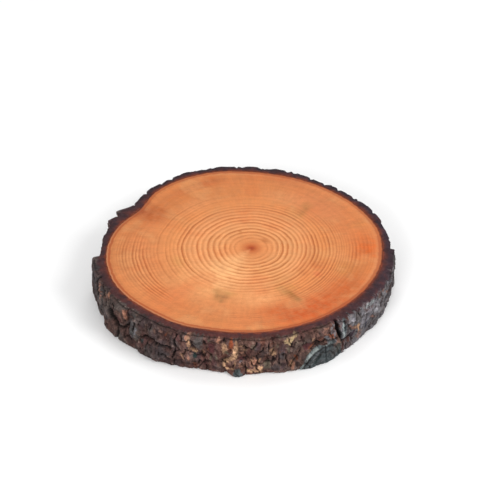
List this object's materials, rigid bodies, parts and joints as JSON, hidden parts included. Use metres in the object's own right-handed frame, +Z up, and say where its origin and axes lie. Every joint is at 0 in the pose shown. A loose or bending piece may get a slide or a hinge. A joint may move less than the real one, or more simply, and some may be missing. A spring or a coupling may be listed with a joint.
{
  "type": "wood slice",
  "caption": "Round slice sawn across a log: a flat sanded disc of ringed wood inside a thick, rough ring of plated bark.",
  "frame": {"origin": "the pith, where the growth rings centre, on the lower sawn face", "axes": "+Z up the trunk, from the lower sawn face to the upper one; +X and +Y across the disc, with the pictured front of the bark towards -Y and the hollow in the outline at 150 degrees from +X"},
  "size_m": [0.243, 0.2367, 0.034],
  "materials": {
    "wood": "sanded satin, bare or lightly oiled",
    "bark": "rough, matt, natural bark"
  },
  "bodies": {
    "root": {"wood": "wood", "bark": "bark"}
  },
  "joints": []
}
